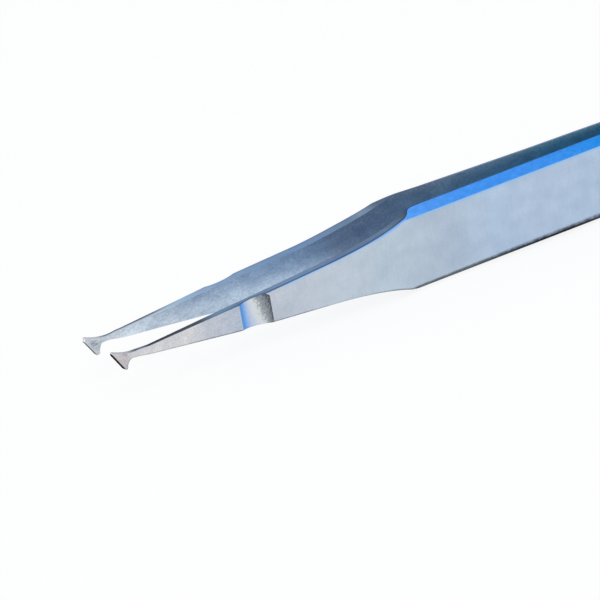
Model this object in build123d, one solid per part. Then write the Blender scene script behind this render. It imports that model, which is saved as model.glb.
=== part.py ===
from build123d import *
from math import atan, degrees
import os

os.makedirs("parts", exist_ok=True)

# Overall size in mm, the long way along X with the tips at the low end
half_length = 60.0
arm_width = 10.0
grip_thickness = 1.3

# How far each inner face stands from the middle plane
weld_front_x = 54.0
bend_x = -41.4
bend_half_gap = 2.95
pad_back_x = -56.8
pad_half_gap = 3.118

# Bevel along both long edges of the outer face of the grip
bevel_on_face = 0.8
bevel_on_edge = 1.1

# Plan of the slim front part, seen square onto the arm
shoulder_x = -19.3
flare_x, flare_half = -31.3, 2.5
knee_x, knee_half = -44.3, 1.45
neck_x, neck_half = -55.0, 0.46
lower_extra = 0.14

# Curve of the shoulder, as points past the flare, and its rounded corner
curve = [(-24.86, 3.05), (-21.53, 3.89), (-19.91, 4.66)]
corner = [(-19.4, 4.9), (-19.0, 5.0), (-18.2, 5.0)]

# Slanted bar at the very tip
front_x = -61.0
bar_top = (-60.282, 1.36)
bar_bottom = (-58.55, -1.4)
fan_top = [(-59.2, 0.98), (-58.3, 0.52), (-57.0, 0.5)]
fan_bottom = (-57.3, -0.24)
fan_foot = (-58.12, -1.2)
bar_x, bar_thickness = -57.6, 0.62
waist_x, waist_thickness = -56.0, 0.48
bend_thickness = 1.1

# Scallop across the outer face and shallow channel in the inner face of the tip
scallop_chord = 3.85
scallop_depth = 0.4
channel_radius = 0.4
channel_depth = 0.12
channel_length = 2.0
channel_x = -57.9

# Plain tail
tail_x = 20.0
tail_half = 3.4
tail_corner = 2.0
tip_corner = 0.2

grip_slope = bend_half_gap / (weld_front_x - bend_x)
pad_slope = pad_half_gap / (weld_front_x + half_length)


def inner_y(x):
    return -grip_slope * (weld_front_x - x)


def pad_y(x):
    return -pad_slope * (weld_front_x - x)


def plate(plane, line, amount, both=False):
    return extrude(make_face(plane * line), amount=amount, both=both)


# Side outline of one arm, thickness against length
shoulder_outer = inner_y(shoulder_x) - grip_thickness
tail_outer = inner_y(half_length) - grip_thickness
bend_outer = -bend_half_gap - bend_thickness
waist_y = pad_y(waist_x) - waist_thickness
bar_y = pad_y(bar_x) - bar_thickness
third = (waist_x - bar_x) / 3
side = Polyline(
    (waist_x, waist_y),
    (bend_x, bend_outer),
    (shoulder_x, shoulder_outer),
    (half_length, tail_outer),
    (half_length, 0),
    (weld_front_x, 0),
    (bend_x, -bend_half_gap),
    (pad_back_x, pad_y(pad_back_x)),
    (front_x, pad_y(front_x)),
    (front_x, pad_y(front_x) - bar_thickness),
    (bar_x, bar_y),
)
side += Bezier((bar_x, bar_y), (bar_x + third, bar_y), (waist_x - third, waist_y), (waist_x, waist_y))
blank = plate(Plane.XY, side, arm_width / 2, both=True)

# Grip bevelled along both edges of its outer face and narrowed plainly to the tail
outer_plane = Plane(
    origin=(shoulder_x, shoulder_outer, 0),
    x_dir=(1, grip_slope, 0),
    z_dir=(-grip_slope, 1, 0),
)
flat_half = arm_width / 2 - bevel_on_face
flat_tail = tail_half - bevel_on_face
tail_u = tail_x - shoulder_x
end_u = half_length - shoulder_x + 0.5
flat_plan = Polyline(
    (-50, -flat_half),
    (tail_u, -flat_half),
    (end_u, -flat_tail),
    (end_u, flat_tail),
    (tail_u, flat_half),
    (-50, flat_half),
    close=True,
)
bevel_angle = degrees(atan(bevel_on_face / bevel_on_edge))
blank &= extrude(make_face(outer_plane * flat_plan), amount=6, taper=-bevel_angle)

# Plan of the whole arm, from the slanted tip past the shoulder to the rounded tail
plan = Bezier(bar_top, *fan_top)
plan += Polyline(
    fan_top[-1],
    (neck_x, neck_half),
    (knee_x, knee_half),
    (flare_x, flare_half),
)
plan += Bezier((flare_x, flare_half), *curve) + Bezier(curve[-1], *corner)
plan += Polyline(
    corner[-1],
    (tail_x, arm_width / 2),
    (half_length, tail_half),
    (half_length, -tail_half),
    (tail_x, -arm_width / 2),
    (corner[-1][0], -corner[-1][1]),
)
lower_corner = [(x, -z) for x, z in [curve[-1]] + corner]
lower_curve = [(x, -z) for x, z in curve]
lower_flare = (flare_x, -flare_half - lower_extra)
plan += Bezier(*lower_corner) + Bezier(lower_flare, *lower_curve)
plan += Polyline(
    lower_flare,
    (knee_x, -knee_half - lower_extra),
    (neck_x, -neck_half - lower_extra),
    fan_bottom,
)
plan += SagittaArc(fan_bottom, fan_foot, -0.24)
plan += Polyline(fan_foot, bar_bottom, bar_top)
plan_face = Plane.XZ * make_face(plan)
plan_face = fillet(plan_face.vertices().filter_by(lambda v: v.X > half_length - 1), tail_corner)
plan_face = fillet(plan_face.vertices().filter_by(lambda v: v.X < -58.2), tip_corner)
arm = blank & extrude(plan_face, amount=8)

# Scallop ground straight across the outer face
scallop_radius = (scallop_chord**2 / 4 + scallop_depth**2) / (2 * scallop_depth)
scallop = Cylinder(scallop_radius, arm_width)
arm -= Pos(bend_x, bend_outer + scallop_depth - scallop_radius, 0) * scallop

# Shallow channel along the middle of the gripping face at the tip
channel = Rot(0, 90, 0) * Cylinder(channel_radius, channel_length)
channel_y = pad_y(channel_x) + channel_radius - channel_depth
arm -= Pos(channel_x, channel_y, -0.03) * Rot(0, 0, degrees(atan(pad_slope))) * channel

# Two mirrored arms, lifted so that the lower long edges lie on the ground
left_arm = Pos(0, 0, arm_width / 2) * arm
right_arm = mirror(left_arm, about=Plane.XZ)
left_arm.label = "left_arm"
right_arm.label = "right_arm"
export_step(left_arm, "parts/left_arm.step")
export_step(right_arm, "parts/right_arm.step")
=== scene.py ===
import math
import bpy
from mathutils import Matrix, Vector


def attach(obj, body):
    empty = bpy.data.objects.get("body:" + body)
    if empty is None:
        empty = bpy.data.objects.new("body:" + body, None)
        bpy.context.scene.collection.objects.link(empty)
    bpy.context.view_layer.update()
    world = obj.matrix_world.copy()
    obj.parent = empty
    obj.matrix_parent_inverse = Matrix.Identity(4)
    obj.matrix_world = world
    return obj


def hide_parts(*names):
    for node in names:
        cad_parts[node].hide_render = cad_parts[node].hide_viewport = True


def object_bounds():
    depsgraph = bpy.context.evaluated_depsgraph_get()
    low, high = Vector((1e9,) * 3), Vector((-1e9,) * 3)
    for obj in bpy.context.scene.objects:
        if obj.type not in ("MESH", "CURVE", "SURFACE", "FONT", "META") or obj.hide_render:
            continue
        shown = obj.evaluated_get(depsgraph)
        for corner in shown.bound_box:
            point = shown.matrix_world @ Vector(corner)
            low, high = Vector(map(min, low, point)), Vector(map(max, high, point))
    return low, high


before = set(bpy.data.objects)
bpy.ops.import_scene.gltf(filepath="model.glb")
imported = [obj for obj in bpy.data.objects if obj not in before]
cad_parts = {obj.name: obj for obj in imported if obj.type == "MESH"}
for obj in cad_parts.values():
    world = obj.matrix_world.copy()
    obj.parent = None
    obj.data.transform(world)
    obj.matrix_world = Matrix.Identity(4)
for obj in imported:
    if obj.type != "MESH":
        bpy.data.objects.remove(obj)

from types import SimpleNamespace

import bpy
from mathutils import Matrix, Vector
from mathutils.geometry import interpolate_bezier

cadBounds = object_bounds()
mm = 0.001
tailEnd = round(cadBounds[1][0] / mm, 2)
halfWidth = round((cadBounds[1][2] - cadBounds[0][2]) / 2 / mm, 2)


# Camera solved from the edges in the photograph: place and sensor in mm, clip start in metres

view = {
    "place": (-412.34, -734.20, 359.64),
    "right": (0.85139, -0.50616, -0.13762),
    "up": (0.31307, 0.27984, 0.90756),
    "back": (-0.42086, -0.81578, 0.39672),
    "focalPixels": 7918.3,
    "imagePixels": 600,
    "sensor": 36,
    "clipStart": 0.01,
}


def makeCamera():
    data = bpy.data.cameras.new("photoCamera")
    data.sensor_width = view["sensor"]
    data.lens = data.sensor_width * view["focalPixels"] / view["imagePixels"]
    data.clip_start = view["clipStart"]
    camera = bpy.data.objects.new("photoCamera", data)
    turn = Matrix([view["right"], view["up"], view["back"]]).transposed()
    camera.matrix_world = Matrix.Translation(Vector(view["place"]) * mm) @ turn.to_4x4()
    bpy.context.scene.collection.objects.link(camera)
    bpy.context.scene.camera = camera
    print("camera placed")


# Node helpers; a Field holds the output of a node, so that it can be added, multiplied and so on


class Field:
    def __init__(self, socket):
        self.socket = socket

    def to(self, operation, *others):
        return calc(self.socket.id_data, operation, self, *others)

    def __add__(self, other):
        return self.to("ADD", other)

    def __radd__(self, other):
        return calc(self.socket.id_data, "ADD", other, self)

    def __sub__(self, other):
        return self.to("SUBTRACT", other)

    def __rsub__(self, other):
        return calc(self.socket.id_data, "SUBTRACT", other, self)

    def __mul__(self, other):
        return self.to("MULTIPLY", other)

    def __truediv__(self, other):
        return self.to("DIVIDE", other)

    def __mod__(self, other):
        return self.to("FLOORED_MODULO", other)

    def __neg__(self):
        return self * -1.0

    def __gt__(self, other):
        return self.to("GREATER_THAN", other)

    def __lt__(self, other):
        return self.to("LESS_THAN", other)


def feed(socket, value):
    if isinstance(value, Field):
        value = value.socket
    if isinstance(value, bpy.types.NodeSocket):
        socket.id_data.links.new(value, socket)
    else:
        socket.default_value = value


def enabled(sockets, name):
    return next(socket for socket in sockets if socket.enabled and socket.name == name)


def addNode(tree, kind, inputs=None, **settings):
    node = tree.nodes.new(kind)
    for name, value in settings.items():
        setattr(node, name, value)
    for name, value in (inputs or {}).items():
        socket = node.inputs[name] if isinstance(name, int) else enabled(node.inputs, name)
        feed(socket, value)
    return node


def calc(tree, operation, *values):
    node = addNode(tree, "ShaderNodeMath", dict(enumerate(values)), operation=operation)
    return Field(node.outputs[0])


def ranged(value, low, high, start=0.0, end=1.0, curve="SMOOTHSTEP"):
    keys = {"Value": value, "From Min": low, "From Max": high, "To Min": start, "To Max": end}
    tree = value.socket.id_data
    return Field(addNode(tree, "ShaderNodeMapRange", keys, interpolation_type=curve).outputs[0])


def fadeIn(value, span):
    return ranged(value, span[0] * mm, span[1] * mm)


def fadeOut(value, span, start=1.0, end=0.0):
    return ranged(value, span[0] * mm, span[1] * mm, start, end)


def opaque(colour):
    return (*colour, 1)


def mixed(tree, factor, first, second, mode="MIX"):
    node = addNode(tree, "ShaderNodeMix", data_type="RGBA", blend_type=mode)
    for index, value in ((0, factor), (6, first), (7, second)):
        feed(node.inputs[index], value)
    return node.outputs[2]


def tinted(tree, base, tint):
    return mixed(tree, 1.0, base, tint, "MULTIPLY")


def colourRamp(factor, stops):
    node = addNode(factor.socket.id_data, "ShaderNodeValToRGB", {"Fac": factor})
    marks = node.color_ramp.elements
    while len(marks) < len(stops):
        marks.new(1.0)
    for mark, (place, colour) in zip(marks, stops):
        mark.position = place
        mark.color = opaque(colour)
    return node.outputs["Color"]


# Steel in general: places in mm, noise scales per metre, grain as scale, detail and amount, and
# streaks as two ends, width and amount; linear colours, listed along the arm from tips to tail

steelRules = {
    "listEnds": (-60, 60),
    "reliefHeight": 0.01,
    "grainSpan": (0.3, 0.7),
    "grainTone": (1.2, 1.0, 0.78),
    "streakSoftness": 0.1,
}


def startSteel(look):
    material = bpy.data.materials.new(look["name"])
    material.use_nodes = True
    tree = material.node_tree
    shader = tree.nodes["Principled BSDF"]
    feed(shader.inputs["Metallic"], 1.0)
    feed(shader.inputs["Roughness"], look["roughness"])
    feed(shader.inputs["Specular Tint"], opaque((look["rim"],) * 3))
    place = addNode(tree, "ShaderNodeTexCoord").outputs["Object"]
    parts = addNode(tree, "ShaderNodeSeparateXYZ", {"Vector": place}).outputs
    steel = SimpleNamespace(
        material=material, tree=tree, place=place, x=Field(parts["X"]), z=Field(parts["Z"])
    )
    height = {"Strength": look["relief"], "Distance": steelRules["reliefHeight"] * mm}
    relief = addNode(tree, "ShaderNodeBump", {"Height": noise(steel, look["lines"]), **height})
    feed(shader.inputs["Normal"], relief.outputs[0])
    return steel


def finishSteel(steel, base):
    feed(steel.tree.nodes["Principled BSDF"].inputs["Base Color"], base)
    return steel.material


def noise(steel, scale, detail=2.0, turn=0.0):
    inputs = {"Vector": steel.place, "Rotation": (0, turn, 0), "Scale": scale}
    mapped = addNode(steel.tree, "ShaderNodeMapping", inputs).outputs[0]
    inputs = {"Vector": mapped, "Scale": 1.0, "Detail": detail}
    return Field(addNode(steel.tree, "ShaderNodeTexNoise", inputs).outputs[0])


def alongArm(steel, stops):
    start, end = steelRules["listEnds"]
    share = ranged(steel.x, start * mm, end * mm, curve="LINEAR")
    return colourRamp(share, [((place - start) / (end - start), colour) for place, colour in stops])


def amountAlong(steel, stops):
    return Field(alongArm(steel, [(place, (value,) * 3) for place, value in stops]))


def grained(steel, base, layers, turn=0.0):
    for scale, detail, amount in layers:
        share = ranged(noise(steel, scale, detail, turn), *steelRules["grainSpan"], curve="LINEAR")
        low, high = [
            opaque(1 + sign * amount * tone for tone in steelRules["grainTone"]) for sign in (-1, 1)
        ]
        base = tinted(steel.tree, base, mixed(steel.tree, share, low, high))
    return base


def attribute(steel, name):
    return Field(addNode(steel.tree, "ShaderNodeAttribute", attribute_name=name).outputs["Fac"])


def streak(steel, first, last, width, amount):
    length = math.dist(first, last)
    alongX, alongZ = (last[0] - first[0]) / length, (last[1] - first[1]) / length
    fromX, fromZ = steel.x - first[0] * mm, steel.z - first[1] * mm
    along = fromX * alongX + fromZ * alongZ
    aside = (fromZ * alongX - fromX * alongZ).to("ABSOLUTE")
    past = (along - length / 2 * mm).to("ABSOLUTE")
    soft = steelRules["streakSoftness"]
    return fadeOut(past, (length / 2 - soft, length / 2 + soft)) * fadeOut(aside, (0, width), amount)


def streaked(steel, base, streaks, colour):
    for mark in streaks:
        base = mixed(steel.tree, streak(steel, *mark), base, opaque(colour))
    return base


# Flat outer face: satin grain, painted blue highlights (gleams) on its upper edge and a dark line of
# painted shade on its lower one

faceLook = {
    "name": "faceSteel",
    "roughness": 0.36,
    "rim": 1.0,
    "lines": (9000, 3000, 900),
    "relief": 0.2,
    # Steel's own tone, partly painted reflection: the blue cast and the lighter and darker stretches along
    # the arm
    "colours": [
        (-61, (0.69, 0.64, 0.63)),
        (-59.5, (0.68, 0.63, 0.62)),
        (-58.2, (0.635, 0.585, 0.59)),
        (-57.2, (0.70, 0.68, 0.69)),
        (-53, (0.71, 0.71, 0.72)),
        (-50, (0.74, 0.72, 0.73)),
        (-47.5, (0.58, 0.61, 0.66)),
        (-44, (0.52, 0.57, 0.66)),
        (-39.4, (0.56, 0.61, 0.68)),
        (-32, (0.61, 0.67, 0.74)),
        (-24, (0.55, 0.64, 0.72)),
        (-15, (0.49, 0.58, 0.69)),
        (-9, (0.51, 0.63, 0.78)),
        (-3, (0.49, 0.60, 0.75)),
        (60, (0.43, 0.56, 0.73)),
    ],
    "grain": [((2600, 900, 700), 4.0, 0.022), ((380, 380, 500), 6.0, 0.065), ((7000,) * 3, 2.0, 0.03)],
    "tipGrain": [((6000,) * 3, 2.0, 0.11), ((1500, 1500, 1700), 4.0, 0.04)],
    "tipGrainEnd": (-42, -33),
    "tipGrainRest": 0.2,
    # Painted blue highlights along the upper edge
    "gripGleam": {"start": (-21, -19), "reach": 0.45, "amount": 0.75, "colour": (0.30, 0.58, 0.92)},
    "shankGleam": {
        "start": (-38.2, -36.5),
        "end": (-22, -20),
        "reach": 0.36,
        "amount": 0.95,
        "colour": (0.40, 0.62, 0.90),
    },
    # Painted shade: a dark line along the lower edge, its strength and reach listed along the arm
    "lowShade": [
        (-60, 0.9), (-58.2, 0.8), (-57.8, 0.2), (-52, 0.35), (-48, 0.7), (-43, 0.75), (-35, 0.7),
        (-31.5, 0.25), (-28, 0.2), (-25, 0.4), (-20, 0.55), (-12, 0.8), (-3, 0.92), (60, 0.92),
    ],
    "lowReach": [(-60, 0.16), (-43, 0.17), (-30, 0.16), (-17, 0.20), (-6, 0.38), (4, 0.5), (60, 0.5)],
    "lowFade": (0.15, 1.05),
    "lowBreaks": ((1300,) * 3, (0.3, 0.6), 0.6),  # noise scale, its span, and the least that stays
    "lowColour": (0.04, 0.055, 0.07),
    # Painted shade: the pad darker towards its bottom
    "padShade": {"end": (-57.8, -56.8), "height": (3.7, 5.4), "amount": 0.32, "colour": (0.30, 0.28, 0.29)},
    "padStreaks": [
        ((-58.55, 5.62), (-58.05, 5.34), 0.22, 0.4),
        ((-58.65, 5.1), (-58.3, 4.7), 0.14, 0.22),
        ((-59.2, 5.2), (-58.9, 4.9), 0.1, 0.15),
    ],
    "padStreakColour": (0.24, 0.16, 0.17),
}

# Scallop: painted reflection and painted shade, blue at its front edge and dark at its back edge; its
# colour list runs across it from the front edge, 0, to the back edge, 1

hollowPaintedLight = {
    "halfHeight": 1.6,
    "shift": 0.11,
    "spread": 0.06,
    "lean": 0.045,
    "cornerHeights": (0.85, 1.2),
    "cornerShare": 0.74,
    "scratch": ((5200, 2000, 2200), 3.0, 0.6),  # noise scale, detail and turn in radians
    "scratchAmount": 0.55,
    "speckle": ((9000, 9000, 7000), 2.0),
    "speckleAmount": 0.75,
    "markEnd": 1.12,
    "markAmount": 3.2,
    "rise": 0.75,
    # Painted reflection at the front edge, fading through grey into painted shade at the back edge
    "colours": [
        (0.00, (0.10, 0.32, 0.74)),
        (0.09, (0.14, 0.38, 0.84)),
        (0.20, (0.37, 0.53, 0.84)),
        (0.33, (0.58, 0.66, 0.80)),
        (0.45, (0.71, 0.75, 0.79)),
        (0.55, (0.75, 0.78, 0.78)),
        (0.64, (0.61, 0.63, 0.64)),
        (0.71, (0.44, 0.465, 0.48)),
        (0.79, (0.32, 0.345, 0.365)),
        (0.88, (0.26, 0.285, 0.31)),
        (0.95, (0.155, 0.17, 0.19)),
        (1.00, (0.08, 0.088, 0.10)),
    ],
}


# Painted highlight: a blue band along the face's upper edge
def gleaming(steel, base, gleam):
    along = fadeIn(steel.x, gleam["start"])
    if "end" in gleam:
        along = along * fadeOut(steel.x, gleam["end"])
    fromEdge = attribute(steel, "fromEdge")
    amount = along * fadeOut(fromEdge, (0, gleam["reach"]), gleam["amount"])
    return mixed(steel.tree, amount, base, opaque(gleam["colour"]))


# Painted shade along the lower edge, broken up by noise
def lowEdgeShaded(steel, base):
    look = faceLook
    fromLow = attribute(steel, "fromLow") / (amountAlong(steel, look["lowReach"]) * mm)
    low = ranged(fromLow, *look["lowFade"], 1.0, 0.0) * amountAlong(steel, look["lowShade"])
    scale, span, least = look["lowBreaks"]
    low = low * ranged(noise(steel, scale), *span, least, 1.0)
    return mixed(steel.tree, low, base, opaque(look["lowColour"]))


# Painted shade on the pad, darker towards its bottom, then dark streaks
def padShaded(steel, base):
    shade = faceLook["padShade"]
    amount = fadeOut(steel.x, shade["end"]) * fadeOut(steel.z, shade["height"], shade["amount"])
    base = mixed(steel.tree, amount, base, opaque(shade["colour"]))
    return streaked(steel, base, faceLook["padStreaks"], faceLook["padStreakColour"])


# Paints the scallop's reflection and shade from the colour list, its edges wobbled by noise and the dark
# side reaching further at the top corner
def hollowLightPainted(steel, base):
    look = hollowPaintedLight
    height = (steel.z - blade["half"] * mm) / (look["halfHeight"] * mm)
    leaned = steel.x + height * (look["lean"] * mm)
    across = leaned - (blade["bendX"] + look["shift"]) * mm
    across = across / ((blade["scallopChord"] / 2 + look["spread"]) * mm)
    corner = ranged(height, *look["cornerHeights"], 1.0, look["cornerShare"])
    share = (across + 1.0) / (corner + 1.0)
    scratch = noise(steel, *look["scratch"]) - 0.5
    speckle = noise(steel, *look["speckle"]) - 0.5
    drift = scratch * look["scratchAmount"] + speckle * look["speckleAmount"]
    fade = share * (share * (look["markEnd"] - share))
    rise = share * (1.0 - share) * share * (height * look["rise"])
    shifted = share + drift * fade * look["markAmount"] + rise
    inside = (share > 0.0) * (share < 1.0)
    return mixed(steel.tree, inside, base, colourRamp(shifted, look["colours"]))


def faceSteel():
    look = faceLook
    steel = startSteel(look)
    # Base colour along the arm: steel tone with painted reflection in it
    base = grained(steel, alongArm(steel, look["colours"]), look["grain"])
    tip = grained(steel, base, look["tipGrain"])
    nearTip = fadeOut(steel.x, look["tipGrainEnd"], 1.0, look["tipGrainRest"])
    base = mixed(steel.tree, nearTip, base, tip)
    for name in ("gripGleam", "shankGleam"):
        base = gleaming(steel, base, look[name])
    base = padShaded(steel, lowEdgeShaded(steel, base))
    return finishSteel(steel, hollowLightPainted(steel, base))


# Bevels: painted blue reflection on the upper one, with painted shade along the taper; painted shade, dark
# to grey, on the one underneath

bevelLook = {
    "name": "bevelSteel",
    "roughness": 0.28,
    "rim": 0.15,
    "lines": (4000, 2000, 900),
    "relief": 0.08,
    # Painted reflection: blue along the grip and shoulder, light at the tips, painted shade along the taper
    "upper": [
        (-60, (0.85, 0.82, 0.82)),
        (-57.6, (0.80, 0.78, 0.78)),
        (-56.9, (0.20, 0.20, 0.20)),
        (-30, (0.24, 0.28, 0.34)),
        (-24, (0.42, 0.56, 0.76)),
        (-21.4, (0.50, 0.68, 0.90)),
        (-20.2, (0.24, 0.56, 0.93)),
        (-12, (0.155, 0.50, 0.90)),
        (0, (0.12, 0.47, 0.87)),
        (7, (0.05, 0.45, 0.84)),
        (60, (0.05, 0.45, 0.84)),
    ],
    # Painted shade on the lower bevel: dark, lifted to grey behind the shoulder
    "underShading": [
        (-60, (0.20, 0.20, 0.22)),
        (-30, (0.30, 0.33, 0.37)),
        (-19, (0.60, 0.66, 0.72)),
        (-14, (0.60, 0.66, 0.72)),
        (-10, (0.42, 0.50, 0.56)),
        (-6, (0.18, 0.26, 0.31)),
        (-2, (0.07, 0.13, 0.18)),
        (2, (0.05, 0.11, 0.15)),
        (6, (0.26, 0.34, 0.38)),
        (60, (0.26, 0.34, 0.38)),
    ],
    "grain": [((1300, 1600, 2800), 4.0, 0.10)],
    # Lighter blue patches that mottle the painted reflection
    "patches": ((1900, 2400, 3400), 4.0, 0.4),
    "patchSpan": (0.42, 0.72),
    "patchAmount": 0.16,
    "patchColour": (0.45, 0.62, 0.84),
    "changeover": (4.9, 5.1),
}


def bevelSteel():
    look = bevelLook
    steel = startSteel(look)
    upper = grained(steel, alongArm(steel, look["upper"]), look["grain"])
    patch = ranged(noise(steel, *look["patches"]), *look["patchSpan"], 0.0, look["patchAmount"])
    upper = mixed(steel.tree, patch, upper, opaque(look["patchColour"]))
    # Below the changeover the bevel takes the painted shade, above it the painted blue reflection
    side = fadeIn(steel.z, look["changeover"])
    return finishSteel(steel, mixed(steel.tree, side, alongArm(steel, look["underShading"]), upper))


# Long edges: painted reflection and shade in each arm's colour list, so the near and far walls are lit and
# shaded copies of one steel; darker along the outer face behind the knee (painted shade), paler along the
# far tip's inner face (painted highlight)

wallLook = {
    "roughness": 0.3,
    "rim": 0.5,
    "lines": (4000, 4000, 900),
    "relief": 0.1,
    "grain": [((700, 700, 1900), 4.0, 0.07)],
    # Painted shade: a darker blue band along the outer face's side of the wall
    "edgeAcross": (0.12, 0.38),
    "edgeStart": (-47, -43),
    "edgeLighting": (0.36, 0.5, 0.75),
    # Painted highlight near the far tip, towards the wall's inner side
    "highlightAcross": (0.5, 0.85),
    "highlightEnd": (-50, -46),
    "highlightColour": (0.92, 0.94, 0.97),
}

nearWallLook = {
    **wallLook,
    "name": "nearWallSteel",
    "edgeAmount": 1.0,
    "highlightAmount": 0.0,
    # Painted reflection and shade along the near wall: dark stretches and blue glints
    "colours": [
        (-60, (0.90, 0.88, 0.88)),
        (-58.4, (0.85, 0.84, 0.85)),
        (-57.7, (0.66, 0.66, 0.67)),
        (-57.0, (0.26, 0.26, 0.27)),
        (-56.6, (0.14, 0.14, 0.16)),
        (-56.2, (0.33, 0.43, 0.56)),
        (-55.6, (0.22, 0.28, 0.34)),
        (-55.1, (0.08, 0.085, 0.09)),
        (-53, (0.09, 0.09, 0.085)),
        (-48.2, (0.12, 0.14, 0.165)),
        (-46.2, (0.28, 0.42, 0.56)),
        (-43.5, (0.25, 0.37, 0.50)),
        (-35, (0.30, 0.43, 0.60)),
        (-28, (0.23, 0.32, 0.46)),
        (-23, (0.24, 0.32, 0.42)),
        (-21, (0.18, 0.24, 0.29)),
        (-19.5, (0.08, 0.11, 0.15)),
        (-18, (0.12, 0.22, 0.36)),
        (60, (0.12, 0.22, 0.36)),
    ],
}

farWallLook = {
    **wallLook,
    "name": "farWallSteel",
    "edgeAmount": 0.4,
    "highlightAmount": 0.85,
    # Painted reflection and shade along the far wall, mostly lighter than the near one
    "colours": [
        (-60, (0.95, 0.93, 0.93)),
        (-57.9, (0.85, 0.84, 0.86)),
        (-57.1, (0.20, 0.21, 0.24)),
        (-52, (0.20, 0.24, 0.28)),
        (-50.5, (0.26, 0.34, 0.40)),
        (-48.5, (0.52, 0.72, 0.84)),
        (-44, (0.50, 0.64, 0.82)),
        (-37, (0.34, 0.50, 0.68)),
        (-30, (0.30, 0.44, 0.63)),
        (-24.5, (0.25, 0.35, 0.47)),
        (-22.9, (0.34, 0.43, 0.54)),
        (-21.8, (0.30, 0.39, 0.49)),
        (-20.5, (0.16, 0.22, 0.29)),
        (-17, (0.15, 0.20, 0.26)),
        (-8, (0.26, 0.36, 0.48)),
        (60, (0.26, 0.36, 0.48)),
    ],
}


def wallSteel(look):
    steel = startSteel(look)
    base = grained(steel, alongArm(steel, look["colours"]), look["grain"])
    # Painted shade along the outer face's side of the wall
    depth = attribute(steel, "acrossWall")
    edge = ranged(depth, *look["edgeAcross"], 1.0, 0.0) * look["edgeAmount"]
    edge = edge * fadeIn(steel.x, look["edgeStart"])
    base = mixed(steel.tree, edge, base, tinted(steel.tree, base, opaque(look["edgeLighting"])))
    # Painted highlight near the tip
    highlight = ranged(depth, *look["highlightAcross"]) * look["highlightAmount"]
    highlight = highlight * fadeOut(steel.x, look["highlightEnd"])
    return finishSteel(steel, mixed(steel.tree, highlight, base, opaque(look["highlightColour"])))


# Inner face: steel tone with painted reflection and shade along the arm, a second colour list of painted
# light for its lower half, dark streaks on the gripping face, and a painted highlight near its edge towards
# the tail

innerLook = {
    "name": "innerSteel",
    "roughness": 0.34,
    "rim": 1.0,
    "lines": (1500, 4000, 6000),
    "relief": 0.15,
    # Steel's own tone, partly painted reflection and shade along the arm
    "colours": [
        (-60, (0.57, 0.60, 0.65)),
        (-56.5, (0.60, 0.65, 0.71)),
        (-54, (0.66, 0.745, 0.825)),
        (-50, (0.52, 0.61, 0.70)),
        (-47, (0.42, 0.52, 0.64)),
        (-41, (0.43, 0.54, 0.68)),
        (-38, (0.47, 0.59, 0.73)),
        (-29, (0.48, 0.61, 0.75)),
        (-25, (0.49, 0.57, 0.69)),
        (-18, (0.55, 0.66, 0.77)),
        (-12, (0.58, 0.70, 0.80)),
        (-4, (0.54, 0.72, 0.84)),
        (4, (0.42, 0.71, 0.85)),
        (60, (0.45, 0.75, 0.89)),
    ],
    # Painted light: the lower half's own colours, mostly lighter than the upper half
    "lowColours": [
        (-60, (0.61, 0.63, 0.67)),
        (-57.5, (0.58, 0.615, 0.635)),
        (-56.5, (0.62, 0.67, 0.72)),
        (-54, (0.68, 0.77, 0.85)),
        (-50, (0.55, 0.63, 0.73)),
        (-47, (0.52, 0.61, 0.71)),
        (-41, (0.54, 0.65, 0.77)),
        (-32, (0.57, 0.69, 0.83)),
        (-24, (0.52, 0.61, 0.73)),
        (-14, (0.57, 0.69, 0.81)),
        (4, (0.40, 0.68, 0.85)),
        (60, (0.40, 0.68, 0.85)),
    ],
    "lowHeights": (4.2, 5.9),
    "grain": [((420, 420, 800), 6.0, 0.16), ((3200, 3200, 4600), 3.0, 0.15)],
    "grainTurn": 0.35,
    "streaks": [
        ((-59.0, 4.87), (-58.2, 5.12), 0.16, 0.55),
        ((-58.8, 4.6), (-58.1, 4.68), 0.13, 0.45),
        ((-59.3, 5.1), (-58.9, 5.2), 0.1, 0.3),
        ((-57.8, 5.2), (-57.1, 5.42), 0.14, 0.35),
    ],
    "streakColour": (0.16, 0.17, 0.20),
    # Painted highlight: the inner face lighter near its edge, towards the tail
    "edgeAmount": [(-60, 0.0), (-21, 0.0), (-17, 0.4), (-8, 0.6), (3, 1.0), (60, 1.0)],
    "edgeReach": 0.8,
    "edgeLighting": (1.85, 1.46, 1.3),
}


def innerSteel():
    look = innerLook
    steel = startSteel(look)
    # Upper and lower colour lists blended by height: painted light
    low = fadeOut(steel.z, look["lowHeights"])
    upper, lower = alongArm(steel, look["colours"]), alongArm(steel, look["lowColours"])
    base = grained(steel, mixed(steel.tree, low, upper, lower), look["grain"], look["grainTurn"])
    base = streaked(steel, base, look["streaks"], look["streakColour"])
    # Painted highlight near the inner face's edge
    edge = fadeOut(attribute(steel, "fromEdge"), (0, look["edgeReach"]))
    edge = edge * amountAlong(steel, look["edgeAmount"])
    base = mixed(steel.tree, edge, base, tinted(steel.tree, base, opaque(look["edgeLighting"])))
    return finishSteel(steel, base)


# End faces of the tip bars: lit and shaded copies of one steel, painted shade that is near black on the
# near arm and dark grey on the far one

endLook = {"roughness": 0.4, "lines": (4000,) * 3, "relief": 0.1, "grain": [((900,) * 3, 2.0, 0.1)]}

nearEndLook = {
    **endLook,
    "name": "nearEndSteel",
    "rim": 0.05,
    # Painted shade: a near black end face
    "colours": [(-60, (0.03, 0.03, 0.032)), (60, (0.03, 0.03, 0.035))],
}

farEndLook = {
    **endLook,
    "name": "farEndSteel",
    "rim": 0.3,
    "colours": [(-60, (0.16, 0.17, 0.19)), (60, (0.03, 0.03, 0.035))],
}


def endSteel(look):
    steel = startSteel(look)
    return finishSteel(steel, grained(steel, alongArm(steel, look["colours"]), look["grain"]))


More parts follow.
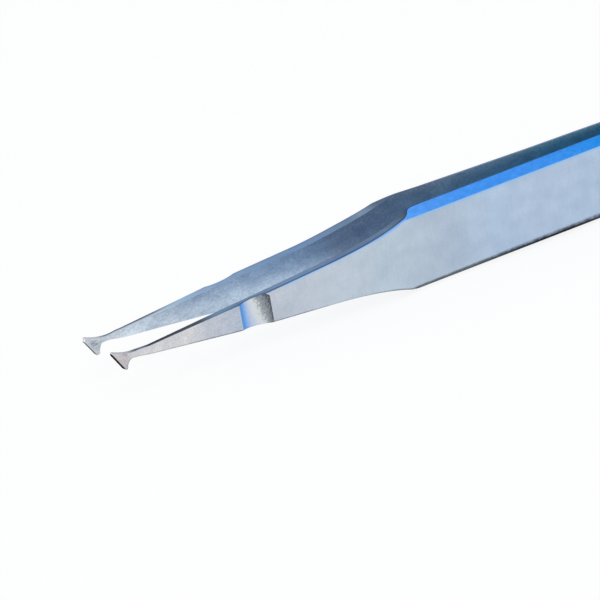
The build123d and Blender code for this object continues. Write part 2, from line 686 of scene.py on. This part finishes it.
def makeSteels():
    shared = {"Face": faceSteel(), "Bevel": bevelSteel(), "Inner": innerSteel()}
    # Near and far arms take their own wall and end steels: lit and shaded copies with painted light
    near = {"Wall": wallSteel(nearWallLook), "End": endSteel(nearEndLook)}
    far = {"Wall": wallSteel(farWallLook), "End": endSteel(farEndLook)}
    print("steels made")
    return {"left_arm": {**shared, **near}, "right_arm": {**shared, **far}}


# One arm: plan outline, thickness, bevels, scallop and tip channel, in mm as in the solids

blade = {
    "endX": tailEnd,
    "tailX": 20.0,
    "tailHalf": 3.4,
    "tailCorner": 2.0,
    "half": halfWidth,
    "topHalf": [(-18.6, 5.0), (60.0, 5.0)],
    "flare": [(-31.3, 2.42), (-24.86, 2.96), (-21.53, 3.81), (-19.91, 4.62)],
    "corner": [(-19.91, 4.62), (-19.72, 4.91), (-19.4, 5.0), (-18.6, 5.0)],
    "lowFlare": [(-31.3, 2.42), (-25.3, 2.98), (-21.9, 4.02), (-20.2, 4.66)],
    "lowCorner": [(-20.2, 4.66), (-19.9, 4.93), (-19.4, 5.0), (-18.6, 5.0)],
    "knee": (-44.3, 1.42),
    "neck": (-55.0, 0.46),
    "lowerExtra": 0.14,
    "fanTop": [(-60.18, 1.31), (-59.2, 0.98), (-58.3, 0.52), (-57.0, 0.5)],
    "fanBottom": (-57.3, -0.24),
    "fanFoot": (-58.11, -1.22),
    "fanSagitta": 0.24,
    "barBottom": (-58.45, -1.5),
    "tipCorner": (0.12, 0.2),
    "upperDrop": (-55.0, 2.2, 0.0),
    "lowerDrop": (-56.4, 1.6, 0.0),
    "gripBevel": (0.8, 1.1),
    "edgeBreak": [(-61.0, 0.04), (-38.6, 0.02), (-26.0, 0.03), (-21.8, 0.13), (60.0, 0.13)],
    "endBreak": 0.15,
    "endLean": 0.84,  # cosine of the bar's slant
    "innerRound": 0.06,
    "shoulderX": -19.3,
    "weldFront": 54.0,
    "bendX": -41.4,
    "bendHalfGap": 2.95,
    "padSlope": 3.118 / 114.0,
    "padBackX": -56.8,
    "gripThickness": 1.3,
    "bendThickness": 1.1,
    "waist": (-56.0, 0.48),
    "bar": (-57.6, 0.62),
    "scallopChord": 3.85,
    "scallopDepth": 0.48,
    "channelRadius": 0.4,
    "channelDepth": 0.12,
    "channelX": (-58.9, -57.6),
    "channelZ": -0.03,
}

# The far arm is ground a little differently, as its outline in the photograph shows

farBlade = {
    **blade,
    "topHalf": [(-18.0, 4.9), (0.0, 4.91), (8.0, 5.0), (60.0, 5.0)],
    "scallopDepth": 0.4,
    "knee": (-44.3, 1.3),
    "neck": (-55.0, 0.41),
    "lowerExtra": 0.25,
    "endBreak": 0.05,
    "flare": [(-31.3, 2.44), (-27.43, 2.86), (-22.6, 3.82), (-20.72, 4.38)],
    "corner": [(-20.72, 4.38), (-20.1, 4.55), (-19.2, 4.9), (-18.0, 4.9)],
    "fanTop": [(-60.16, 1.34), (-59.2, 0.98), (-58.3, 0.52), (-57.0, 0.5)],
    "barBottom": (-58.34, -1.56),
    "fanFoot": (-57.98, -1.28),
    "fanBottom": (-57.58, -0.16),
    "fanSagitta": 0.12,
    "tipCorner": (0.28, 0.2),
    "upperDrop": (-55.0, 2.2, 0.28),
    "lowerDrop": (-56.4, 1.6, 0.28),
}

# How finely the arm is divided: counts, and lengths in mm

fineness = {
    "arc": 14,
    "corner": 8,
    "fanCurve": 24,
    "fanStations": 72,
    "fanPacking": 1.25,  # power that packs the stations towards the tip
    "shankStep": 0.5,
    "scallopStep": 0.1,
    "scallopReach": 2.2,
    "clearance": 0.1,
    "flare": 48,
    "flareCorner": 12,
    "gripStations": 13,
    "tailStep": 3.8,
    "tailStations": 9,
    "tailCorner": 15,
    "cornerGap": 0.05,
    "leastGap": 0.02,
    "mergeGap": 0.0005,
    "flatStrips": 8,
    "innerStrips": 48,
    "crispAngle": 0.25,  # radians
}

finishes = ["Face", "Bevel", "Wall", "Inner", "End"]  # a face's finish is a place in this list


def arcPoints(first, last, sagitta, count=fineness["arc"]):
    start, end = Vector(first), Vector(last)
    chord = end - start
    radius = (chord.length**2 / 4 + sagitta**2) / (2 * abs(sagitta))
    side = Vector((-chord.y, chord.x)).normalized() * (1 if sagitta > 0 else -1)
    centre = (start + end) / 2 - side * (radius - abs(sagitta))
    angle = math.atan2(*(start - centre).yx)
    sweep = (math.atan2(*(end - centre).yx) - angle + math.pi) % (2 * math.pi) - math.pi
    turns = [angle + sweep * i / count for i in range(count + 1)]
    return [(centre.x + radius * math.cos(t), centre.y + radius * math.sin(t)) for t in turns]


def roundCorner(before, corner, after, radius):
    point = Vector(corner)
    back, ahead = (Vector(before) - point).normalized(), (Vector(after) - point).normalized()
    angle = back.angle(ahead)
    reach = radius / math.tan(angle / 2)
    sagitta = radius * (1 - math.sin(angle / 2))
    turn = back.x * ahead.y - back.y * ahead.x
    ends = (point + back * reach, point + ahead * reach)
    return arcPoints(*ends, sagitta if turn > 0 else -sagitta, fineness["corner"])


def bezierPoints(knots, count):
    return [(p.x, p.y) for p in interpolate_bezier(*[Vector((x, z, 0)) for x, z in knots], count)]


def spread(points, shares):
    lengths = [0.0]
    for first, second in zip(points, points[1:]):
        lengths.append(lengths[-1] + math.dist(first, second))
    result = []
    for share in shares:
        target = share * lengths[-1]
        last = len(points) - 1
        i = max(1, next((k for k, length in enumerate(lengths) if length >= target - 1e-9), last))
        t = (target - lengths[i - 1]) / (lengths[i] - lengths[i - 1])
        (x, z), (nextX, nextZ) = points[i - 1], points[i]
        result.append((x + (nextX - x) * t, z + (nextZ - z) * t))
    return result


def stepped(x, stops):
    for (start, first), (end, second) in zip(stops, stops[1:]):
        if x <= end:
            return first + (second - first) * max(0, x - start) / (end - start)
    return stops[-1][1]


# Stations along the arm, each a pair of points: on the upper and on the lower outline


def fanPairs(form):
    lowNeck = (form["neck"][0], -form["neck"][1] - form["lowerExtra"])
    top, bottom = form["fanTop"][0], form["barBottom"]
    upperCorner, lowerCorner = form["tipCorner"]
    edge = bezierPoints(form["fanTop"], fineness["fanCurve"])
    upper = roundCorner(bottom, top, edge[1], upperCorner)
    upper += [p for p in edge if p[0] > upper[-1][0] + fineness["cornerGap"]] + [form["neck"]]
    lower = roundCorner(top, bottom, form["fanFoot"], lowerCorner)
    lower += arcPoints(form["fanFoot"], form["fanBottom"], form["fanSagitta"]) + [lowNeck]
    count = fineness["fanStations"]
    shares = [(i / count) ** fineness["fanPacking"] for i in range(count + 1)]
    return list(zip(spread(upper, shares), spread(lower, shares)))


def shankPairs(form):
    neck, knee, flare = form["neck"], form["knee"], form["flare"][0]
    reach, clearance = fineness["scallopReach"], fineness["clearance"]
    coarseCount = int((flare[0] - neck[0]) / fineness["shankStep"])
    fineCount = 2 * round(reach / fineness["scallopStep"]) + 1
    coarse = [neck[0] + fineness["shankStep"] * i for i in range(1, coarseCount + 1)]
    fine = [form["bendX"] - reach + fineness["scallopStep"] * i for i in range(fineCount)]
    kept = [
        x for x in coarse if abs(x - form["bendX"]) > reach + clearance and x < flare[0] - clearance
    ]
    pairs = []
    for x in sorted(kept + fine + [knee[0]]):
        front, back = (neck, knee) if x < knee[0] else (knee, flare)
        half = front[1] + (back[1] - front[1]) * (x - front[0]) / (back[0] - front[0])
        pairs.append(((x, half), (x, -half - form["lowerExtra"])))
    return pairs


def shoulderPairs(form):
    upper, lower = [
        bezierPoints(form[flare], fineness["flare"])
        + bezierPoints(form[corner], fineness["flareCorner"])[1:]
        for flare, corner in (("flare", "corner"), ("lowFlare", "lowCorner"))
    ]
    last = fineness["flare"] - 1
    extras = [form["lowerExtra"] * max(0, 1 - i / last) ** 3 for i in range(len(lower))]
    return [(high, (low[0], -low[1] - extra)) for high, low, extra in zip(upper, lower, extras)]


def gripPairs(form):
    front, count = form["corner"][-1][0], fineness["gripStations"]
    places = [front + (form["tailX"] - front) * i / count for i in range(1, count + 1)]
    return [((x, stepped(x, form["topHalf"])), (x, -form["half"])) for x in places]


def tailPairs(form):
    slope = (form["half"] - form["tailHalf"]) / (form["endX"] - form["tailX"])
    radius = form["tailCorner"]
    start = form["endX"] - radius
    step, count = fineness["tailStep"], fineness["tailCorner"]
    places = [form["tailX"] + step * i for i in range(1, fineness["tailStations"] + 1)]
    places += [start + radius * math.sin(math.radians(90 / count * i)) for i in range(count + 1)]
    pairs = []
    for x in places:
        rounded = math.sqrt(max(0, radius * radius - max(0, x - start) ** 2))
        half = form["half"] - slope * (x - form["tailX"]) - radius + rounded
        pairs.append(((x, half), (x, -half)))
    return pairs


def bladePairs(form):
    stretches = (fanPairs, shankPairs, shoulderPairs, gripPairs, tailPairs)
    return [pair for stretch in stretches for pair in stretch(form)]


def bevelAt(form, x, half):
    wide, deep = form["gripBevel"]
    if x > form["corner"][-1][0]:
        return wide, deep
    width = max(stepped(x, form["edgeBreak"]), half - form["half"] + wide)
    return width, width * deep / wide


def dropAt(x, start, length, amount):
    share = min(1, max(0, (start - x) / length))
    return amount * share * share * (3 - 2 * share)


# Two guide meshes carry these numbers into the nodes: one has a point for each station, the
# other a point for each line along the arm, in order round its section


def guide(name, columns):
    count = len(next(iter(columns.values())))
    mesh = bpy.data.meshes.new(name)
    mesh.from_pydata([(0, 0, 0)] * count, [], [])
    for key, values in columns.items():
        vector = isinstance(values[0], tuple)
        column = mesh.attributes.new(key, "FLOAT_VECTOR" if vector else "FLOAT", "POINT")
        flat = [float(v) for row in values for v in row] if vector else [float(v) for v in values]
        column.data.foreach_set("vector" if vector else "value", flat)
    return bpy.data.objects.new(name, mesh)


def stationGuide(name, form):
    pairs = bladePairs(form)
    chamfer = form["endBreak"]
    inward = [(x + chamfer / form["endLean"], z) for x, z in pairs[0]]
    rows = [(*pairs[0], 1, chamfer), (*pairs[0], 0, chamfer), (*inward, 0, 0)]
    rows += [(*p, 0, 0) for p in pairs[1:] if p[0][0] > inward[0][0] + fineness["leastGap"]]
    rows += [(*pairs[-1], 1, 0)]
    keys = ["upper", "lower", "bevelWidth", "bevelDepth", "collapse", "shrink"]
    columns = {key: [] for key in keys}
    for high, low, collapse, shrink in rows:
        width, depth = bevelAt(form, *high)
        upper = (high[0] * mm, 0, (high[1] - dropAt(high[0], *form["upperDrop"])) * mm)
        lower = (low[0] * mm, 0, (low[1] - dropAt(low[0], *form["lowerDrop"])) * mm)
        values = (upper, lower, width * mm, depth * mm, collapse, shrink * mm)
        for key, value in zip(keys, values):
            columns[key].append(value)
    return guide(name, columns)


def sectionGuide():
    flat, inner = fineness["flatStrips"], fineness["innerStrips"]
    face, bevel, wall, inside = [finishes.index(name) for name in ("Face", "Bevel", "Wall", "Inner")]
    arch = 0.29  # how far a quarter round's middle keeps from its corner
    rows = [(-1 + 2 * i / flat, 1, 0, 0, 0, 0, face if i < flat else bevel) for i in range(flat + 1)]
    rows += [(1, 0, 0, 0, 1, 0, wall), (1, 0, 0, 1, 0, -1, wall), (1, 0, arch, 1, 0, -arch, wall)]
    rows += [
        (1 - 2 * i / inner, 0, 1, 1, 0, 0, inside if i < inner else wall) for i in range(inner + 1)
    ]
    rows += [(-1, 0, arch, 1, 0, -arch, wall), (-1, 0, 0, 1, 0, -1, wall), (-1, 0, 0, 0, 1, 0, bevel)]
    keys = ["across", "insetBevel", "insetRound", "depth", "riseBevel", "riseRound", "finish"]
    return guide("bladeSection", dict(zip(keys, map(list, zip(*rows)))))


# The node group that bends a grid of stations and strips into an arm


def bladeLengths(form):
    chord, deep = form["scallopChord"], form["scallopDepth"]
    return {
        "Lift": form["half"],
        "Weld front": form["weldFront"],
        "Bend place": form["bendX"],
        "Bend half gap": form["bendHalfGap"],
        "Pad back": form["padBackX"],
        "Shoulder place": form["shoulderX"],
        "Grip thickness": form["gripThickness"],
        "Bend thickness": form["bendThickness"],
        "Waist place": form["waist"][0],
        "Waist thickness": form["waist"][1],
        "Bar place": form["bar"][0],
        "Bar thickness": form["bar"][1],
        "Inner round": form["innerRound"],
        "Scallop radius": (chord**2 / 4 + deep**2) / (2 * deep),
        "Scallop depth": deep,
        "Channel radius": form["channelRadius"],
        "Channel depth": form["channelDepth"],
        "Channel front": form["channelX"][0],
        "Channel back": form["channelX"][1],
        "Channel height": form["channelZ"],
    }


def vectorCalc(tree, operation, *values, **inputs):
    inputs.update(enumerate(values))
    node = addNode(tree, "ShaderNodeVectorMath", inputs, operation=operation)
    return node.outputs["Value" if operation == "LENGTH" else "Vector"]


def named(tree, key, kind="FLOAT"):
    node = addNode(tree, "GeometryNodeInputNamedAttribute", {"Name": key}, data_type=kind)
    return enabled(node.outputs, "Attribute")


def sampled(tree, mesh, key, index, kind="FLOAT"):
    inputs = {"Geometry": mesh, "Value": named(tree, key, kind), "Index": index}
    node = addNode(tree, "GeometryNodeSampleIndex", inputs, data_type=kind, domain="POINT")
    return Field(enabled(node.outputs, "Value"))


def stored(tree, mesh, key, value, domain="POINT"):
    inputs = {"Geometry": mesh, "Name": key, "Value": value}
    settings = {"data_type": "FLOAT", "domain": domain}
    return addNode(tree, "GeometryNodeStoreNamedAttribute", inputs, **settings).outputs["Geometry"]


def bladeGrid(tree, stations, section):
    stationCount, ringCount = [
        Field(addNode(tree, "GeometryNodeAttributeDomainSize", {"Geometry": mesh}).outputs["Point Count"])
        for mesh in (stations, section)
    ]
    columns = ringCount + 1.0
    size = {"Size X": 1.0, "Size Y": 1.0, "Vertices X": stationCount, "Vertices Y": columns}
    grid = addNode(tree, "GeometryNodeMeshGrid", size).outputs["Mesh"]
    index = Field(addNode(tree, "GeometryNodeInputIndex").outputs[0])
    strip = sampled(tree, section, "finish", index % ringCount)
    atEnd = ((index + 0.5) / ringCount).to("FLOOR") < 1.5
    endLevel = float(finishes.index("End"))
    marked = stored(tree, grid, "finish", strip.to("MAXIMUM", atEnd * endLevel), "FACE")
    station = ((index + 0.5) / columns).to("FLOOR")
    return marked, station, (index - station * columns) % ringCount


# Gap from the middle plane to the inner face, thickness, and what the tail's slant takes off


def sideProfile(given, x):
    toWeld = given["Weld front"] - x
    slope = given["Bend half gap"] / (given["Weld front"] - given["Bend place"])
    padGap = toWeld * given["Pad slope"]
    padBack = (given["Weld front"] - given["Pad back"]) * given["Pad slope"]
    shankGap = linear(x, given["Bend place"], given["Pad back"], given["Bend half gap"], padBack)
    gripGap = toWeld.to("MAXIMUM", 0.0) * slope
    isGrip = x > given["Bend place"]
    isSlim = 1.0 - isGrip
    gap = isGrip * gripGap + isSlim * shankGap.to("MAXIMUM", padGap)

    bend, grip = given["Bend thickness"], given["Grip thickness"]
    behind = linear(x, given["Bend place"], given["Shoulder place"], bend, grip)
    ahead = linear(x, given["Bend place"], given["Waist place"], bend, given["Waist thickness"])
    swell = given["Bar thickness"] - given["Waist thickness"]
    front = ahead + ranged(x, given["Waist place"], given["Bar place"], 0.0, swell)
    thickness = isGrip * behind + isSlim * front
    tailLoss = (-toWeld).to("MAXIMUM", 0.0) * slope
    return gap, thickness, tailLoss


def linear(x, low, high, start, end):
    return ranged(x, low, high, start, end, "LINEAR")


def hollowAt(distance, radius, deep):
    bowl = radius * radius - distance * distance
    return (bowl.to("MAXIMUM", 0.0).to("SQRT") - (radius - deep)).to("MAXIMUM", 0.0)


def bladeFaces(given, x, z):
    gap, thickness, tailLoss = sideProfile(given, x)
    scallop = hollowAt(x - given["Bend place"], given["Scallop radius"], given["Scallop depth"])
    height = z - given["Channel height"]
    channel = hollowAt(height, given["Channel radius"], given["Channel depth"])
    inChannel = ranged(x, given["Channel front"], given["Channel back"], 1.0, 0.0)
    inChannel = inChannel * (x > given["Channel front"])
    return tailLoss - (gap + thickness) + scallop, -(gap + channel * inChannel)


def dressed(tree, mesh, given):
    merging = {"Geometry": mesh, "Distance": fineness["mergeGap"] * mm}
    closed = addNode(tree, "GeometryNodeMergeByDistance", merging).outputs[0]
    turned = addNode(tree, "GeometryNodeFlipFaces", {"Mesh": closed}).outputs[0]
    sides = {"Switch": given["Side"] > 0.0, "False": turned, "True": closed}
    facing = addNode(tree, "GeometryNodeSwitch", sides, input_type="GEOMETRY").outputs[0]
    shading = {"Geometry": facing, "Shade Smooth": True}
    smooth = addNode(tree, "GeometryNodeSetShadeSmooth", shading, domain="FACE").outputs[0]
    bend = Field(addNode(tree, "GeometryNodeInputMeshEdgeAngle").outputs["Unsigned Angle"])
    sharp = bend > fineness["crispAngle"]
    shading = {"Geometry": smooth, "Selection": sharp, "Shade Smooth": False}
    crisp = addNode(tree, "GeometryNodeSetShadeSmooth", shading, domain="EDGE").outputs[0]
    result = addNode(tree, "GeometryNodeRealizeInstances", {"Geometry": crisp}).outputs[0]
    finish = Field(named(tree, "finish"))
    for level, name in enumerate(finishes):
        chosen = {"Geometry": result, "Material": given[name], "Selection": finish > level - 0.5}
        result = addNode(tree, "GeometryNodeSetMaterial", chosen).outputs[0]
    return result


def bladeTree():
    tree = bpy.data.node_groups.new("bladeShape", "GeometryNodeTree")
    tree.interface.new_socket("Geometry", in_out="OUTPUT", socket_type="NodeSocketGeometry")
    kinds = {"Stations": "Object", "Section": "Object", "Side": "Float", "Pad slope": "Float"}
    kinds.update(dict.fromkeys(bladeLengths(blade), "Float"))
    kinds.update(dict.fromkeys(finishes, "Material"))
    for name, kind in kinds.items():
        tree.interface.new_socket(name, in_out="INPUT", socket_type="NodeSocket" + kind)
    outputs = tree.nodes.new("NodeGroupInput").outputs
    given = {name: Field(outputs[name]) for name in kinds}
    stations, section = [
        addNode(tree, "GeometryNodeObjectInfo", {"Object": given[name]}).outputs["Geometry"]
        for name in ("Stations", "Section")
    ]
    mesh, station, ring = bladeGrid(tree, stations, section)

    upper, lower = [
        sampled(tree, stations, key, station, "FLOAT_VECTOR") for key in ("upper", "lower")
    ]
    width, drop, collapse, shrink = [
        sampled(tree, stations, key, station)
        for key in ("bevelWidth", "bevelDepth", "collapse", "shrink")
    ]
    across, insetBevel, insetRound, depth, riseBevel, riseRound = [
        sampled(tree, section, key, ring)
        for key in ("across", "insetBevel", "insetRound", "depth", "riseBevel", "riseRound")
    ]

    line = vectorCalc(tree, "SUBTRACT", upper, lower)
    half = Field(vectorCalc(tree, "LENGTH", line)) * 0.5
    inset = insetBevel * width + insetRound * given["Inner round"]
    flatHalf = half - (inset + shrink)
    centre = vectorCalc(tree, "SCALE", vectorCalc(tree, "ADD", upper, lower), Scale=0.5)
    along = vectorCalc(tree, "NORMALIZE", line)
    aside = vectorCalc(tree, "SCALE", along, Scale=across * flatHalf)
    plan = vectorCalc(tree, "ADD", centre, aside)
    place = addNode(tree, "ShaderNodeSeparateXYZ", {"Vector": plan}).outputs
    x, z = Field(place["X"]), Field(place["Z"])
    mesh = stored(tree, mesh, "acrossWall", depth)
    mesh = stored(tree, mesh, "fromEdge", (1.0 - across) * flatHalf)
    mesh = stored(tree, mesh, "fromLow", (1.0 + across) * flatHalf)

    outer, inner = bladeFaces(given, x, z)
    middle = (outer + inner) * 0.5
    y = (1.0 - depth) * outer + depth * inner
    y = y + (riseBevel * drop + riseRound * given["Inner round"])
    halfThick = (inner - outer) * 0.5
    keep = (1.0 - shrink / halfThick) * (1.0 - collapse)
    y = middle + (y - middle) * keep
    spot = {"X": x, "Y": y * given["Side"], "Z": z + given["Lift"]}
    position = addNode(tree, "ShaderNodeCombineXYZ", spot).outputs[0]
    shaping = {"Geometry": mesh, "Position": position}
    shaped = addNode(tree, "GeometryNodeSetPosition", shaping).outputs[0]
    out = tree.nodes.new("NodeGroupOutput")
    feed(out.inputs["Geometry"], dressed(tree, shaped, given))
    return tree


def settle(holder, name):
    bpy.context.view_layer.update()
    evaluated = holder.evaluated_get(bpy.context.evaluated_depsgraph_get())
    mesh = bpy.data.meshes.new_from_object(evaluated)
    mesh.name = name
    piece = bpy.data.objects.new(name, mesh)
    bpy.context.scene.collection.objects.link(piece)
    bpy.data.objects.remove(holder)
    return piece


def makeArm(tree, name, side, form, given):
    holder = bpy.data.objects.new(name + "Holder", bpy.data.meshes.new(name + "Holder"))
    bpy.context.scene.collection.objects.link(holder)
    modifier = holder.modifiers.new("bladeShape", "NODES")
    modifier.node_group = tree
    values = {key: length * mm for key, length in bladeLengths(form).items()}
    values.update({"Side": side, "Pad slope": form["padSlope"], **given})
    for item in tree.interface.items_tree:
        if item.item_type == "SOCKET" and item.in_out == "INPUT":
            modifier[item.identifier] = values[item.name]
    return settle(holder, name)


def makeArms(steels):
    tree = bladeTree()
    section = sectionGuide()
    for node, side, form in [("left_arm", 1.0, blade), ("right_arm", -1.0, farBlade)]:
        stations = stationGuide(node + "Stations", form)
        given = {"Stations": stations, "Section": section, **steels[node]}
        piece = makeArm(tree, node + "_steel", side, form, given)
        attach(piece, node)
        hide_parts(node)
        bpy.data.objects.remove(stations)
        print(piece.name, len(piece.data.polygons), [round(v, 5) for v in piece.dimensions])
    bpy.data.objects.remove(section)
    print("arms shaped")


# Pale floor, soft light, and a blue card overhead that shows only in reflections, in metres

studio = {
    "floorSize": 6.0,
    "floorColour": (0.9, 0.91, 0.92),
    "floorRoughness": 0.9,
    "floorLift": 0.87,
    "floorGleam": 0.5,
    "glow": 1.0,
    "worldColour": (0.93, 0.96, 1.0),
    "worldStrength": 0.75,
    "keyPlace": (-0.5, -0.7, 1.2),
    "keySize": 1.2,
    "keyPower": 9.0,
    "cardColour": (0.33, 0.56, 0.96),
    "cardHeight": 0.5,
    "cardSize": 1.0,
}

white = (1, 1, 1, 1)


def flatPiece(name, size, height, facingDown=False):
    reach = size / 2
    signs = [(-1, -1), (1, -1), (1, 1), (-1, 1)]
    mesh = bpy.data.meshes.new(name)
    order = (3, 2, 1, 0) if facingDown else (0, 1, 2, 3)
    mesh.from_pydata([(x * reach, y * reach, height) for x, y in signs], [], [order])
    piece = bpy.data.objects.new(name, mesh)
    bpy.context.scene.collection.objects.link(piece)
    material = bpy.data.materials.new(name)
    material.use_nodes = True
    mesh.materials.append(material)
    return piece, material.node_tree


def glowing(tree, colour):
    inputs = {"Color": colour, "Strength": studio["glow"]}
    return addNode(tree, "ShaderNodeEmission", inputs).outputs[0]


def makeFloor():
    tree = flatPiece("floor", studio["floorSize"], 0)[1]
    shader = tree.nodes["Principled BSDF"]
    feed(shader.inputs["Base Color"], opaque(studio["floorColour"]))
    feed(shader.inputs["Roughness"], studio["floorRoughness"])
    path = addNode(tree, "ShaderNodeLightPath").outputs
    camera, through, glossy = [
        Field(path[f"Is {kind} Ray"]) for kind in ("Camera", "Transmission", "Glossy")
    ]
    seen = camera.to("MAXIMUM", through) * studio["floorLift"]
    seen = seen.to("MAXIMUM", glossy * studio["floorGleam"])
    mix = addNode(tree, "ShaderNodeMixShader", {0: seen, 1: shader.outputs[0], 2: glowing(tree, white)})
    feed(tree.nodes["Material Output"].inputs["Surface"], mix.outputs[0])


def makeCard():
    card, tree = flatPiece("blueCard", studio["cardSize"], studio["cardHeight"], True)
    glow = glowing(tree, opaque(studio["cardColour"]))
    feed(tree.nodes["Material Output"].inputs["Surface"], glow)
    card.visible_camera = False
    card.visible_diffuse = False
    card.visible_transmission = False
    card.visible_shadow = False


def makeWorld():
    world = bpy.data.worlds.new("studioWorld")
    world.use_nodes = True
    bpy.context.scene.world = world
    tree = world.node_tree
    back = tree.nodes["Background"]
    seen = Field(addNode(tree, "ShaderNodeLightPath").outputs["Is Camera Ray"])
    feed(back.inputs["Color"], mixed(tree, seen, opaque(studio["worldColour"]), white))
    feed(back.inputs["Strength"], ranged(seen, 0.0, 1.0, studio["worldStrength"], 1.0))


def makeKeyLight():
    data = bpy.data.lights.new("keyLight", "AREA")
    data.size = studio["keySize"]
    data.energy = studio["keyPower"]
    key = bpy.data.objects.new("keyLight", data)
    key.location = studio["keyPlace"]
    key.rotation_euler = (-Vector(studio["keyPlace"])).to_track_quat("-Z", "Y").to_euler()
    bpy.context.scene.collection.objects.link(key)


def makeStudio():
    makeFloor()
    makeCard()
    makeWorld()
    makeKeyLight()
    print("studio lit")


makeCamera()
makeArms(makeSteels())
makeStudio()
bpy.context.scene.view_settings.view_transform = "Standard"
